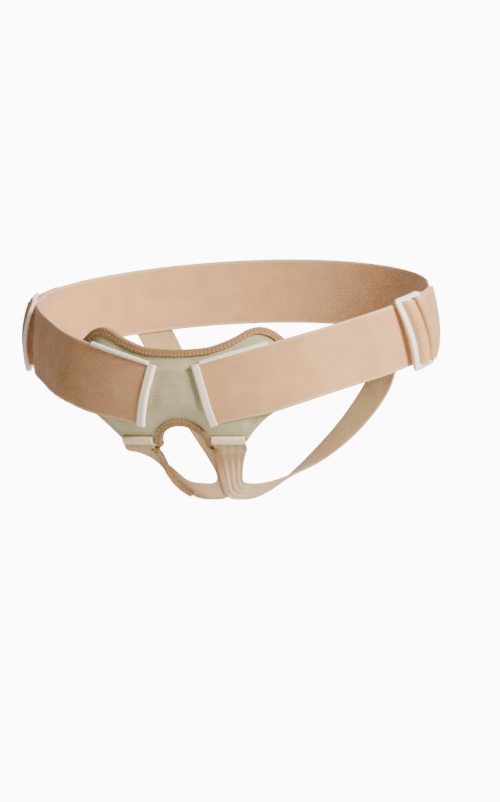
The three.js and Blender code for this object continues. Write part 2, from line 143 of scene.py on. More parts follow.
girth_lengths = [0.0]
for girth_step in range(GIRTH_STEPS):
    here = girth_point(girth_step / GIRTH_STEPS)
    ahead = girth_point((girth_step + 1) / GIRTH_STEPS)
    girth_lengths.append(girth_lengths[-1] + math.dist(here, ahead))
girth = girth_lengths[-1]


def hollow_wall(around, height):
    length = around % girth
    step = min(bisect.bisect_right(girth_lengths, length) - 1, GIRTH_STEPS - 1)
    part = (length - girth_lengths[step]) / (girth_lengths[step + 1] - girth_lengths[step])
    turn = (step + part) / GIRTH_STEPS
    x, y = girth_point(turn)
    angle = math.tau * turn - math.pi / 2
    ahead_x = -HOLLOW_HALF_WIDTH * math.sin(angle)
    ahead_y = HOLLOW_HALF_DEPTH * math.cos(angle)
    facing_front = max(ahead_x / math.hypot(ahead_x, ahead_y), 0)
    fall = max(GROIN_TOP - height, 0) / GROIN_FALL
    return Vector((x, y + GROIN_DEPTH * fall ** 2 * facing_front ** 2, height))


def on_wall(around, height, out):
    step = 0.05 * MM
    across = hollow_wall(around + step, height) - hollow_wall(around - step, height)
    up = hollow_wall(around, height + step) - hollow_wall(around, height - step)
    return hollow_wall(around, height) + across.cross(up).normalized() * out


# Centre line of the belt on the wall: straight over the hips, then levelling off to the
# middle of the back and on to the other hip
hip_around = STRIP_END_AROUND + SLIDE_RUN * math.cos(STRIP_RISE)
back_radius = (girth / 2 - hip_around) / math.sin(STRIP_RISE)
back_length = 2 * back_radius * STRIP_RISE
whole_run = 2 * SLIDE_RUN + back_length


def belt_line(run):
    turned = clamp(run - SLIDE_RUN, 0, back_length) / back_radius
    straight = run - turned * back_radius
    angle = STRIP_RISE - turned
    rise = straight if run <= SLIDE_RUN + back_length else 2 * SLIDE_RUN - straight
    around = (STRIP_END_AROUND + straight * math.cos(STRIP_RISE)
              + back_radius * (math.sin(STRIP_RISE) - math.sin(angle)))
    height = (rise * math.sin(STRIP_RISE)
              + back_radius * (math.cos(angle) - math.cos(STRIP_RISE)))
    return around, height, angle


# How far a hip slide, and what passes over it, stands off
def slide_stand(run, across, out):
    from_slide = min(abs(run - SLIDE_RUN), abs(whole_run - run - SLIDE_RUN))
    near = smoothstep(2 * FOLD_LENGTH - from_slide, 0, FOLD_LENGTH)
    lifted = clamp(out / SLIDE_LIFT, 0, 1)
    along = across / (SLIDE_HEIGHT / 2)
    return near * lifted * (SLIDE_BOW * (1 - along ** 2) - SLIDE_LEAN * along)


# A front strip is eased in towards its sewn end, so that its lower edge rises there
def on_belt(run, across, out):
    around, height, angle = belt_line(run)
    ease = STRIP_END_EASE * (1 - smoothstep(run, 0, STRIP_EASE_LENGTH))
    eased = across + ease * (0.5 - across / STRIP_WIDTH)
    return on_wall(around - eased * math.sin(angle), height + eased * math.cos(angle),
                   out + slide_stand(run, across, out))


# Reads a table of (at, value) rows by smooth interpolation
def read_table(rows, at):
    i = 0
    while i < len(rows) - 2 and at > rows[i + 1][0]:
        i += 1

    def slope(j):
        before = rows[max(j - 1, 0)]
        after = rows[min(j + 1, len(rows) - 1)]
        return (after[1] - before[1]) / (after[0] - before[0])

    span = rows[i + 1][0] - rows[i][0]
    t = clamp((at - rows[i][0]) / span, 0, 1)
    return (rows[i][1] * (1 + 2 * t) * (1 - t) ** 2 + rows[i + 1][1] * t * t * (3 - 2 * t)
            + span * (slope(i) * t * (1 - t) ** 2 - slope(i + 1) * t * t * (1 - t)))


# Plate's top edge: share of the half width, share of the rise from its middle to the ears
TOP_EDGE = ((0, 0), (0.3, 0.12), (0.52, 0.5), (0.67, 0.9), (0.77, 1), (0.88, 0.84), (1, 0.4))

# Side of its lower edge: share of the way from the tab to the side, share of the tab's drop
LOW_EDGE = ((0, 0.93), (0.25, 0.68), (0.6, 0.4), (1, 0.16))


def plate_top(around):
    rise = read_table(TOP_EDGE, abs(around) / PLATE_HALF_WIDTH)
    return PLATE_MIDDLE_HEIGHT + rise * (EAR_HEIGHT - PLATE_MIDDLE_HEIGHT)


NOTCH_HEIGHT = TAB_DROP - NOTCH_TOP_DROP


def plate_bottom(around):
    distance = abs(around)
    if distance < NOTCH_HALF_WIDTH:
        return NOTCH_HEIGHT * math.sqrt(1 - (distance / NOTCH_HALF_WIDTH) ** 2) - TAB_DROP
    if distance < TAB_OUTER_HALF_WIDTH:
        share = (distance - NOTCH_HALF_WIDTH) / (TAB_OUTER_HALF_WIDTH - NOTCH_HALF_WIDTH)
        return -TAB_DROP * lerp(1, LOW_EDGE[0][1], share)
    share = (distance - TAB_OUTER_HALF_WIDTH) / (PLATE_HALF_WIDTH - TAB_OUTER_HALF_WIDTH)
    return -TAB_DROP * read_table(LOW_EDGE, share)


PLATE_INNER = TAPE_THICKNESS + 2 * GAP
PUFF_WIDTH = 12 * MM
RIM_WIDTH = BINDING_REACH + 1 * MM
PUCKER = 0.25 * MM
BARE_CROWN = 0.9 * MM


def plate_outer(around, height):
    notch_share = math.hypot(around / NOTCH_HALF_WIDTH, (height + TAB_DROP) / NOTCH_HEIGHT)
    from_edge = min(
        plate_top(around) - height,
        height - plate_bottom(around),
        PLATE_HALF_WIDTH - abs(around),
        (notch_share - 1) * min(NOTCH_HALF_WIDTH, NOTCH_HEIGHT))
    puff = smoothstep(from_edge, RIM_WIDTH, RIM_WIDTH + PUFF_WIDTH)
    from_strip = ((STRIP_END_AROUND - abs(around)) * math.cos(STRIP_RISE)
                  - height * math.sin(STRIP_RISE) + TAPE_LIP - END_TAPE_WIDTH)
    crown = BARE_CROWN * puff * smoothstep(from_strip, 0, PUFF_WIDTH)
    return PLATE_INNER + lerp(PLATE_RIM_THICKNESS, PLATE_THICKNESS, puff) + crown


REST_OUT = GAP + ELASTIC_THICKNESS / 2
PLATE_OUT = PLATE_INNER + PLATE_THICKNESS + SEWN_GAP + ELASTIC_THICKNESS / 2
STRIP_LOW = PLATE_OUT - ELASTIC_THICKNESS / 2
SLIDE_LENGTH = 3 * SLIDE_BAR + SLIDE_FRONT_SLOT + SLIDE_REAR_SLOT
SLIDE_FRONT = SLIDE_RUN - SLIDE_LENGTH / 2
MIDDLE_BAR = SLIDE_FRONT + SLIDE_BAR + SLIDE_FRONT_SLOT
REAR_BAR = MIDDLE_BAR + SLIDE_BAR + SLIDE_REAR_SLOT
TURN_CLEAR = GAP + ELASTIC_THICKNESS / 2
TURN_RADIUS = 2 * MM
FOLD_OUT = REST_OUT + 2 * (ELASTIC_THICKNESS + GAP)
FOLD_END = REAR_BAR + SLIDE_BAR + FOLD_LENGTH


# Materials
def srgb(red, green, blue):
    return tuple(
        ((value / 255 + 0.055) / 1.055) ** 2.4 if value > 10 else value / 255 / 12.92
        for value in (red, green, blue))


def node_tree(name, color, roughness, sheen=0.0, specular=0.5):
    material = bpy.data.materials.new(name)
    material.use_nodes = True
    shader = material.node_tree.nodes["Principled BSDF"]
    shader.inputs["Base Color"].default_value = (*color, 1)
    shader.inputs["Roughness"].default_value = roughness
    shader.inputs["Sheen Weight"].default_value = sheen
    shader.inputs["Sheen Roughness"].default_value = 0.5
    shader.inputs["Specular IOR Level"].default_value = specular
    return material, shader


def add_node(material, kind, **settings):
    node = material.node_tree.nodes.new(kind)
    for key, value in settings.items():
        if hasattr(node, key):
            setattr(node, key, value)
        else:
            node.inputs[key.replace("_", " ")].default_value = value
    return node


def link(material, source, output, target, entry):
    material.node_tree.links.new(source.outputs[output], target.inputs[entry])


# Sine ribs across one direction of the cloth's own flat coordinates, 0 to 1
def ribs(material, flat, axis, pitch, turn=0.0):
    mapping = add_node(material, "ShaderNodeMapping")
    mapping.inputs["Rotation"].default_value = (0, 0, turn)
    link(material, flat, "UV", mapping, "Vector")
    split = add_node(material, "ShaderNodeSeparateXYZ")
    link(material, mapping, "Vector", split, "Vector")
    phase = add_node(material, "ShaderNodeMath", operation="MULTIPLY")
    phase.inputs[1].default_value = math.tau / pitch
    link(material, split, axis, phase, 0)
    wave = add_node(material, "ShaderNodeMath", operation="SINE")
    link(material, phase, 0, wave, 0)
    share = add_node(material, "ShaderNodeMath", operation="MULTIPLY_ADD")
    share.inputs[1].default_value = 0.5
    share.inputs[2].default_value = 0.5
    link(material, wave, 0, share, 0)
    return share


def mixed(material, operation, first, second):
    node = add_node(material, "ShaderNodeMath", operation=operation)
    link(material, first, 0, node, 0)
    if isinstance(second, (int, float)):
        node.inputs[1].default_value = second
    else:
        link(material, second, 0, node, 1)
    return node


# Woven or knitted cloth: ribs along the cloth, threads across it, fuzz, and uneven colour.
# The selvedge is a tighter border of the cloth. At the given distance from the cloth's middle
# line, a paler band is painted along both edges: a painted highlight where light catches the
# edges, not a colour of the cloth.
def woven(name, color, shade, along, across, depth, sheen, turn=0.0, edge_highlight_at=None):
    material, shader = node_tree(name, color, 0.9, sheen, 0.2)
    flat = add_node(material, "ShaderNodeUVMap", uv_map="Flat")
    cords = ribs(material, flat, "Y", along, turn)
    threads = ribs(material, flat, "X", across, turn)
    weave = mixed(material, "MULTIPLY", cords, threads)
    fuzz = add_node(material, "ShaderNodeTexNoise", Scale=1900.0, Detail=3.0)
    link(material, flat, "UV", fuzz, "Vector")
    patches = add_node(material, "ShaderNodeTexNoise", Scale=55.0, Detail=4.0)
    link(material, flat, "UV", patches, "Vector")
    surface = mixed(material, "ADD", weave, mixed(material, "MULTIPLY", fuzz, 0.6))
    tone = mixed(material, "ADD", mixed(material, "MULTIPLY", surface, 0.45),
                 mixed(material, "MULTIPLY", patches, 0.6))
    ramp = add_node(material, "ShaderNodeMapRange")
    ramp.inputs["From Min"].default_value = 0.2
    ramp.inputs["From Max"].default_value = 1.0
    link(material, tone, 0, ramp, "Value")
    paint = add_node(material, "ShaderNodeMix", data_type="RGBA")
    paint.inputs[6].default_value = (*shade, 1)
    paint.inputs[7].default_value = (*color, 1)
    link(material, ramp, "Result", paint, 0)
    # Painted highlight: a paler band along both edges of the cloth, standing in for light
    # catching them
    if edge_highlight_at:
        split = add_node(material, "ShaderNodeSeparateXYZ")
        link(material, flat, "UV", split, "Vector")
        edge_highlight_band = add_node(material, "ShaderNodeMapRange")
        edge_highlight_band.inputs["From Min"].default_value = edge_highlight_at - 0.3 * MM
        edge_highlight_band.inputs["From Max"].default_value = edge_highlight_at + 0.3 * MM
        edge_highlight_band.inputs["To Max"].default_value = 0.3
        from_middle = add_node(material, "ShaderNodeMath", operation="ABSOLUTE")
        link(material, split, "Y", from_middle, 0)
        link(material, from_middle, 0, edge_highlight_band, "Value")
        edge_highlight_mix = add_node(material, "ShaderNodeMix", data_type="RGBA")
        edge_highlight_mix.inputs[7].default_value = (*srgb(244, 206, 164), 1)
        link(material, edge_highlight_band, "Result", edge_highlight_mix, 0)
        material.node_tree.links.new(paint.outputs[2], edge_highlight_mix.inputs[6])
        paint = edge_highlight_mix
    material.node_tree.links.new(paint.outputs[2], shader.inputs["Base Color"])
    bump = add_node(material, "ShaderNodeBump", Strength=0.7, Distance=depth)
    link(material, surface, 0, bump, "Height")
    link(material, bump, "Normal", shader, "Normal")
    return material


# The elastic's paler bands along both edges are painted highlight, not the elastic's own colour
elastic = woven("Tan elastic", srgb(222, 170, 120), srgb(182, 132, 88),
                1.5 * MM, 0.9 * MM, 0.18 * MM, 0.25,
                edge_highlight_at=STRIP_WIDTH / 2 - SELVEDGE_WIDTH)
plate_knit = woven("Sage knit", srgb(204, 192, 152), srgb(168, 156, 116),
                   1.6 * MM, 1.1 * MM, 0.15 * MM, 0.2)
bias_tape = woven("Tan bias tape", srgb(178, 138, 92), srgb(138, 102, 64),
                  0.9 * MM, 0.9 * MM, 0.1 * MM, 0.15, math.radians(45))
white_tape = woven("White grosgrain", srgb(255, 246, 228), srgb(242, 226, 200),
                   3 * MM, 0.9 * MM, 0.14 * MM, 0.1)
cream_tape = woven("Cream tape", srgb(250, 232, 190), srgb(228, 206, 160),
                   3 * MM, 0.9 * MM, 0.14 * MM, 0.1)
cream_cloth = woven("Cream gathered cloth", srgb(210, 176, 126), srgb(164, 128, 82),
                    0.8 * MM, 1.3 * MM, 0.1 * MM, 0.3)


# Sewing thread: twisted strands that catch the light unevenly
def twisted(name, color, shade):
    material, shader = node_tree(name, color, 0.6, 0.2)
    place = add_node(material, "ShaderNodeTexCoord")
    strands = add_node(material, "ShaderNodeTexNoise", Scale=2200.0, Detail=2.0)
    link(material, place, "Object", strands, "Vector")
    paint = add_node(material, "ShaderNodeMix", data_type="RGBA")
    paint.inputs[6].default_value = (*shade, 1)
    paint.inputs[7].default_value = (*color, 1)
    link(material, strands, 0, paint, 0)
    material.node_tree.links.new(paint.outputs[2], shader.inputs["Base Color"])
    bump = add_node(material, "ShaderNodeBump", Strength=0.5, Distance=0.06 * MM)
    link(material, strands, 0, bump, "Height")
    link(material, bump, "Normal", shader, "Normal")
    return material


cream_thread = twisted("Cream thread", srgb(246, 234, 208), srgb(206, 190, 158))
tan_thread = twisted("Tan thread", srgb(214, 178, 134), srgb(168, 130, 90))


def moulded(name, color):
    material, shader = node_tree(name, color, 0.38)
    place = add_node(material, "ShaderNodeTexCoord")
    cloud = add_node(material, "ShaderNodeTexNoise", Scale=60.0, Detail=3.0)
    link(material, place, "Object", cloud, "Vector")
    polish = add_node(material, "ShaderNodeMapRange")
    polish.inputs["To Min"].default_value = 0.3
    polish.inputs["To Max"].default_value = 0.5
    link(material, cloud, 0, polish, "Value")
    link(material, polish, "Result", shader, "Roughness")
    grain = add_node(material, "ShaderNodeTexNoise", Scale=2500.0, Detail=2.0)
    link(material, place, "Object", grain, "Vector")
    bump = add_node(material, "ShaderNodeBump", Strength=0.15, Distance=0.05 * MM)
    link(material, grain, 0, bump, "Height")
    link(material, bump, "Normal", shader, "Normal")
    shader.inputs["Subsurface Weight"].default_value = 0.15
    shader.inputs["Subsurface Radius"].default_value = (0.004, 0.003, 0.002)
    return material


plastic = moulded("Cream plastic", srgb(238, 230, 218))


# Stores each corner's flat place as the cloth's own coordinates
def keep_flat(cloth):
    layer = cloth.loops.layers.uv.new("Flat")
    for face in cloth.faces:
        for corner in face.loops:
            corner[layer].uv = corner.vert.co.xy


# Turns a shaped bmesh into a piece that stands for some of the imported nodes
def finish_piece(cloth, name, material, nodes=()):
    bmesh.ops.recalc_face_normals(cloth, faces=cloth.faces)
    for face in cloth.faces:
        face.smooth = True
    mesh = bpy.data.meshes.new(name)
    cloth.to_mesh(mesh)
    cloth.free()
    mesh.materials.append(material)
    piece = bpy.data.objects.new(name, mesh)
    bpy.context.scene.collection.objects.link(piece)
    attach(piece, "root")
    if nodes:
        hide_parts(*nodes)
    return piece


# Even places from low to high, with closer ones beside both edges for a rounded edge
def spaced(low, high, count, edge):
    inner = [lerp(low + edge, high - edge, i / count) for i in range(count + 1)]
    return [low, low + 0.3 * edge, *inner, high - 0.3 * edge, high]


# Closed sheet: a flat grid of the given places, laid by place(along, across, side), where
# side is -1 underneath, 1 on top, and less at the rounded edges
def sheet(alongs, acrosses, edge, place):
    cloth = bmesh.new()
    columns = len(alongs) - 1
    rows = len(acrosses) - 1
    bmesh.ops.create_grid(cloth, x_segments=columns, y_segments=rows, size=1)
    for corner in cloth.verts:
        i = round((corner.co.x + 1) / 2 * columns)
        j = round((corner.co.y + 1) / 2 * rows)
        corner.co = Vector((alongs[i], acrosses[j], 0))
    bmesh.ops.solidify(cloth, geom=cloth.faces[:], thickness=MM)
    levels = [corner.co.z for corner in cloth.verts]
    middle = (min(levels) + max(levels)) / 2
    keep_flat(cloth)
    for corner in cloth.verts:
        along, across, level = corner.co
        inset = min(along - alongs[0], alongs[-1] - along,
                    across - acrosses[0], acrosses[-1] - across)
        full = clamp(inset / edge, 0, 1)
        fullness = lerp(0.3, 1, math.sqrt(full * (2 - full)))
        corner.co = place(along, across, math.copysign(fullness, level - middle))
    return cloth


def mirror_to(side, cloth):
    if side < 0:
        bmesh.ops.scale(cloth, vec=(-1, 1, 1), verts=cloth.verts)
    return cloth


# Smooth curve through points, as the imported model's leg straps follow theirs
def curve_point(points, share):
    last = len(points) - 1
    at = clamp(share, 0, 1) * last
    i = min(int(at), last - 1)
    t = at - i
    p1, p2 = points[i], points[i + 1]
    p0 = points[i - 1] if i else p1 * 2 - p2
    p3 = points[i + 2] if i + 2 <= last else p2 * 2 - p1
    d0, d1, d2 = (math.sqrt((b - a).length) for a, b in ((p0, p1), (p1, p2), (p2, p3)))
    start = ((p1 - p0) / d0 - (p2 - p0) / (d0 + d1) + (p2 - p1) / d1) * d1
    end = ((p2 - p1) / d1 - (p3 - p1) / (d1 + d2) + (p3 - p2) / d2) * d1
    return (p1 + start * t + (p2 * 3 - p1 * 3 - start * 2 - end) * t * t
            + (p1 * 2 - p2 * 2 + start + end) * t * t * t)


def point_row(start, end, count, out):
    rows = []
    for i in range(count + 1):
        run = lerp(start, end, i / count)
        rows.append(Vector((run, out(run) if callable(out) else out, 0)))
    return rows


# Half turn over a slide's bar, from one side of it to the other
def over_bar(bar):
    top = SLIDE_LIFT + SLIDE_THICKNESS + TURN_CLEAR
    turns = []
    for i in range(5):
        angle = math.pi - i * math.pi / 8
        turns.append(Vector((bar - TURN_CLEAR + TURN_RADIUS * (1 + math.cos(angle)),
                             top + TURN_RADIUS * (math.sin(angle) - 1), 0)))
    middle = bar + SLIDE_BAR / 2
    return turns + [Vector((2 * middle - p.x, p.y, 0)) for p in reversed(turns)]


# Evenly spaced places along a centre line drawn in side view, as (length, point) rows
def measured(points, spacing):
    fine = [curve_point(points, i / (12 * len(points))) for i in range(12 * len(points) + 1)]
    lengths = [0.0]
    for before, after in zip(fine, fine[1:]):
        lengths.append(lengths[-1] + (after - before).length)
    count = round(lengths[-1] / spacing)
    places = []
    for i in range(count + 1):
        length = lengths[-1] * i / count
        step = min(bisect.bisect_right(lengths, length) - 1, len(fine) - 2)
        part = (length - lengths[step]) / max(lengths[step + 1] - lengths[step], 1e-9)
        places.append((length, fine[step].lerp(fine[step + 1], clamp(part, 0, 1))))
    return places


# How far in from its edge each cloth is rounded
ELASTIC_EDGE = 0.9 * MM
PAD_EDGE = 1.2 * MM
LEG_EDGE = 0.8 * MM


# Elastic strap along a centre line of (run, out) points
def strap(points, spacing):
    places = measured(points, spacing)
    alongs = [length for length, point in places]
    acrosses = spaced(-STRIP_WIDTH / 2, STRIP_WIDTH / 2, 26, ELASTIC_EDGE)
    last = len(places) - 1
    aheads = [(places[min(i + 1, last)][1] - places[max(i - 1, 0)][1]).normalized()
              for i in range(last + 1)]

    def place(along, across, side):
        i = round(along / alongs[-1] * last)
        point, ahead = places[i][1], aheads[i]
        off = side * ELASTIC_THICKNESS / 2
        return on_belt(point.x - ahead.y * off, across, point.y + ahead.x * off)

    return sheet(alongs, acrosses, ELASTIC_EDGE, place), places[-1][0]


STRIP_LEAVES_PLATE = GAP + ((PLATE_HALF_WIDTH - STRIP_END_AROUND
                             + STRIP_WIDTH / 2 * math.sin(STRIP_RISE)) / math.cos(STRIP_RISE))
STRIP_MEETS_HOLLOW = STRIP_LEAVES_PLATE + STRIP_SETTLE


# Turns beside a slide's bars, in millimetres, as (run, out) rows: the climb through the front
# slot and the descent behind the middle bar, the folded end's settling behind the rear bar,
# and the descent into the rear slot
CLIMB = ((1.2, 1.4),)
DESCENT = ((0.6, 3.1), (2.6, 0.8))
FOLD_SETTLE = ((9, 1.2),)
SLOT_DESCENT = ((-1.3, 2), (-0.65, 0.3))
CLIMB_START = 3 * MM
DESCENT_END = 5.3 * MM
FOLD_SETTLED = 16 * MM
SLOT_DESCENT_END = 1.4 * MM
FOLD_SHORT = 6 * MM
BAND_SETTLE = 14 * MM


def placed(rows, run, out):
    return [Vector((run + ahead * MM, out + lift * MM, 0)) for ahead, lift in rows]


def front_strap_line():
    def settle(run):
        return lerp(PLATE_OUT, REST_OUT, smoothstep(run, STRIP_LEAVES_PLATE, STRIP_MEETS_HOLLOW))

    slot = SLIDE_FRONT + SLIDE_BAR
    behind = MIDDLE_BAR + SLIDE_BAR + TURN_CLEAR
    return [
        *point_row(0, STRIP_LEAVES_PLATE, 9, PLATE_OUT),
        *point_row(STRIP_LEAVES_PLATE + 5 * MM, STRIP_MEETS_HOLLOW, 9, settle),
        *point_row(STRIP_MEETS_HOLLOW + 8 * MM, slot - CLIMB_START, 5, REST_OUT),
        *placed(CLIMB, slot, REST_OUT),
        *over_bar(MIDDLE_BAR),
        *placed(DESCENT, behind, REST_OUT),
        *point_row(behind + DESCENT_END, behind + STRIP_TAIL_LENGTH, 3, REST_OUT),
    ]


def back_band_end():
    under_out = REST_OUT + ELASTIC_THICKNESS + GAP
    behind = REAR_BAR + SLIDE_BAR
    return [
        *point_row(FOLD_END, behind + FOLD_SETTLED, 3, FOLD_OUT),
        *placed(FOLD_SETTLE, behind, FOLD_OUT),
        *reversed(over_bar(REAR_BAR)),
        *placed(SLOT_DESCENT, REAR_BAR, under_out),
        *point_row(REAR_BAR + SLOT_DESCENT_END, FOLD_END - FOLD_SHORT, 5, under_out),
    ]


def back_band_line():
    end = back_band_end()
    other_end = [Vector((whole_run - p.x, p.y, 0)) for p in end]
    settled = end[-1].x + BAND_SETTLE
    middle = point_row(settled, whole_run - settled, 22, REST_OUT)
    return [*end, *middle, *reversed(other_end)]


# Front straps and back band
for hand, side in SIDES:
    cloth, front_strap_length = strap(front_strap_line(), 1.5 * MM)
    finish_piece(mirror_to(side, cloth), f"front_strap_{hand}", elastic,
                                [f"front_strip_{hand}"])

cloth, back_band_length = strap(back_band_line(), 1.9 * MM)
back_band = finish_piece(cloth, "back_band", elastic, ["back_belt"])


# Plate pad: columns gather round the notch, rows run from the lower edge to the top edge
def pad_columns():
    turn = 16
    notch = [math.sin(i / turn * math.pi / 2) * NOTCH_HALF_WIDTH for i in range(turn)]
    beyond = spaced(NOTCH_HALF_WIDTH, PLATE_HALF_WIDTH, 46, PAD_EDGE)[2:]
    half = notch + [NOTCH_HALF_WIDTH, *beyond[1:]]
    return [-place for place in reversed(half[1:])] + half


def pad_sheet():
    cloth = bmesh.new()
    columns = pad_columns()
    rows = spaced(0, 1, 56, 0.014)
    count = len(columns) - 1
    bmesh.ops.create_grid(cloth, x_segments=count, y_segments=len(rows) - 1, size=1)
    for corner in cloth.verts:
        i = round((corner.co.x + 1) / 2 * count)
        j = round((corner.co.y + 1) / 2 * (len(rows) - 1))
        around = columns[i]
        bottom = plate_bottom(around)
        corner.co = Vector((around, lerp(bottom, plate_top(around), rows[j]), 0))
    bmesh.ops.solidify(cloth, geom=cloth.faces[:], thickness=MM)
    levels = [corner.co.z for corner in cloth.verts]
    middle = (min(levels) + max(levels)) / 2
    keep_flat(cloth)
    for corner in cloth.verts:
        around, height, level = corner.co
        inset = min(height - plate_bottom(around), plate_top(around) - height,
                    PLATE_HALF_WIDTH - abs(around))
        full = clamp(inset / PAD_EDGE, 0, 1)
        fullness = lerp(0.35, 1, math.sqrt(full * (2 - full)))
        outer = plate_outer(around, height)
        if level > middle:
            wave = PUCKER * (noise.noise(Vector((around, height, 0)) * 130) - 0.4)
            out = lerp((PLATE_INNER + outer) / 2, outer + wave, fullness)
        else:
            out = lerp((PLATE_INNER + outer) / 2, PLATE_INNER, fullness)
        corner.co = on_wall(around, height, out)
    return cloth


piece = finish_piece(pad_sheet(), "plate_pad", plate_knit, ["front_plate"])


# Rounds the corners of an outline given as (x, y, radius) rows
def rounded(corners, steps=4):
    outline = []
    for i, (x, y, radius) in enumerate(corners):
        corner = Vector((x, y))
        before = Vector(corners[i - 1][:2])
        after = Vector(corners[(i + 1) % len(corners)][:2])
        if not radius:
            outline.append(corner)
            continue
        start = corner + (before - corner).normalized() * radius
        end = corner + (after - corner).normalized() * radius
        for step in range(steps + 1):
            t = step / steps
            outline.append(start * (1 - t) ** 2 + corner * 2 * t * (1 - t) + end * t * t)
    return outline


# Closed rod: an outline carried along stations, laid by place(x, y, station). Opened out,
# the tape in it is as wide as half the outline's girth.
def rod(outline, stations, place):
    cloth = bmesh.new()
    turns = len(outline)
    rows = len(stations) - 1
    bmesh.ops.create_grid(cloth, x_segments=turns, y_segments=rows, size=1)
    girths = [0.0]
    for i in range(turns):
        girths.append(girths[-1] + (outline[(i + 1) % turns] - outline[i]).length)
    spots = []
    for corner in cloth.verts:
        i = round((corner.co.x + 1) / 2 * turns)
        j = round((corner.co.y + 1) / 2 * rows)
        spots.append((i % turns, j))
        corner.co = Vector((stations[j], girths[i], 0))
    keep_flat(cloth)
    for corner, (i, j) in zip(cloth.verts, spots):
        corner.co = place(outline[i].x, outline[i].y, stations[j])
    bmesh.ops.remove_doubles(cloth, verts=cloth.verts, dist=1e-7)
    open_edges = [edge for edge in cloth.edges if edge.is_boundary]
    bmesh.ops.holes_fill(cloth, edges=open_edges, sides=0)
    line = [place(outline[0].x, outline[0].y, station) for station in stations]
    length = sum((after - before).length for before, after in zip(line, line[1:]))
    return cloth, (girths[-1] / 2, length)


# Folded tape, wide enough opened out to be a sheet of its own, made into a piece in bias tape
def wide_tape(side, tape, name, node):
    cloth, cut = tape
    piece = finish_piece(mirror_to(side, cloth), name, bias_tape, [node])


# Narrow tape sewn on another sheet, made into a piece in the given material
def narrow_tape(side, tape, name, material, node):
    return finish_piece(mirror_to(side, tape[0]), name, material, [node])


def even(low, high, count):
    return [lerp(low, high, i / count) for i in range(count + 1)]


# Tape folded over the plate's edge: x grows outwards past the edge, y is off the wall
def folded_tape():
    inside = PLATE_INNER - GAP
    outside = PLATE_INNER + PLATE_RIM_THICKNESS + GAP
    far = GAP + TAPE_THICKNESS
    low = inside - TAPE_THICKNESS
    high = outside + TAPE_THICKNESS
    return rounded([
        (-BINDING_REACH, low, 0.3 * MM), (far, low, 1.2 * MM), (far, high, 1.6 * MM),
        (-BINDING_REACH, high, 0.35 * MM), (-BINDING_REACH, outside, 0),
        (GAP, outside, 0.4 * MM), (GAP, inside, 0.4 * MM), (-BINDING_REACH, inside, 0)])


STITCH_PITCH = 3.2 * MM
STITCH_HALF_SHARE = 0.36
THREAD_RADIUS = 0.24 * MM
SEAM_INSET = 2.6 * MM


# Rows of stitches, each a short length of thread that dips into the cloth at both ends.
# A row is place(station, lift), its first and last station, and its stitches' pitch there.
def stitching(name, material, side, rows):
    seam = bmesh.new()
    for place, low, high, pitch in rows:
        for i in range(math.ceil(low / pitch + 0.4), math.floor(high / pitch + 0.6)):
            spot = place(i * pitch, 0)
            along = (place((i + STITCH_HALF_SHARE) * pitch, 0)
                     - place((i - STITCH_HALF_SHARE) * pitch, 0))
            outward = (place(i * pitch, MM) - spot).normalized()
            across = outward.cross(along).normalized()
            stitch = bmesh.ops.create_uvsphere(seam, u_segments=6, v_segments=5, radius=1)
            turned = Matrix((across * THREAD_RADIUS * 1.3, outward * THREAD_RADIUS, along / 2))
            laid = Matrix.Translation(spot) @ turned.transposed().to_4x4()
            bmesh.ops.transform(seam, matrix=laid, verts=stitch["verts"])
    return finish_piece(mirror_to(side, seam), name, material)


def stitch_pull(station):
    return 0.12 * MM * math.cos(math.tau * station / STITCH_PITCH)


def top_edge(around):
    slope = (plate_top(around + 0.5 * MM) - plate_top(around - 0.5 * MM)) / MM
    size = math.hypot(slope, 1)
    return around, plate_top(around), -slope / size, 1 / size


def notch_edge(angle):
    aside = math.cos(angle) / NOTCH_HALF_WIDTH
    up = math.sin(angle) / NOTCH_HEIGHT
    size = math.hypot(aside, up)
    return (NOTCH_HALF_WIDTH * math.cos(angle), NOTCH_HEIGHT * math.sin(angle) - TAB_DROP,
            -aside / size, -up / size)


def binding(edge, stations, length_each):
    def place(past, out, station):
        around, height, aside, up = edge(station)
        out += stitch_pull(station * length_each) if out > PLATE_THICKNESS else 0
        return on_wall(around + past * aside, height + past * up, out)

    return rod(folded_tape(), stations, place)


wide_tape(1, binding(top_edge, even(-PLATE_HALF_WIDTH, PLATE_HALF_WIDTH, 240), 1),
          "top_edge_tape", "top_binding")
wide_tape(1, binding(notch_edge, even(0, math.pi, 110), NOTCH_HALF_WIDTH),
          "notch_edge_tape", "notch_binding")


# Tape sewn over a strap's edge: a foot past the edge and a lip on the strap
def edge_tape(foot, lip, strap_low):
    strap_top = strap_low + ELASTIC_THICKNESS
    top = strap_top + GAP + TAPE_THICKNESS
    return rounded([
        (GAP, strap_low, 0.2 * MM), (GAP + foot, strap_low, 0.4 * MM),
        (GAP + foot, top, 2 * MM), (-lip, top, 0.75 * MM), (-lip, strap_top + GAP, 0.2 * MM),
        (GAP, strap_top + GAP, 0)])


TAPE_TOP = PLATE_INNER + PLATE_RIM_THICKNESS + GAP + TAPE_THICKNESS
TAPE_SEAM = 1.3 * MM - BINDING_REACH


def edge_seam(edge):
    def place(station, lift):
        around, height, aside, up = edge(station)
        return on_wall(around + TAPE_SEAM * aside, height + TAPE_SEAM * up, TAPE_TOP + lift)

    return place


stitching("edge_seams", tan_thread, 1, [
    (edge_seam(top_edge), -PLATE_HALF_WIDTH, PLATE_HALF_WIDTH, STITCH_PITCH),
    (edge_seam(notch_edge), 0, math.pi, STITCH_PITCH / NOTCH_HALF_WIDTH)])

LEG_LOW = PLATE_INNER + PLATE_RIM_THICKNESS + SEWN_GAP
LEG_INNER = NOTCH_HALF_WIDTH + BINDING_REACH + LEG_STRAP_INNER_GAP
LEG_MIDDLE = LEG_INNER + LEG_STRAP_WIDTH / 2

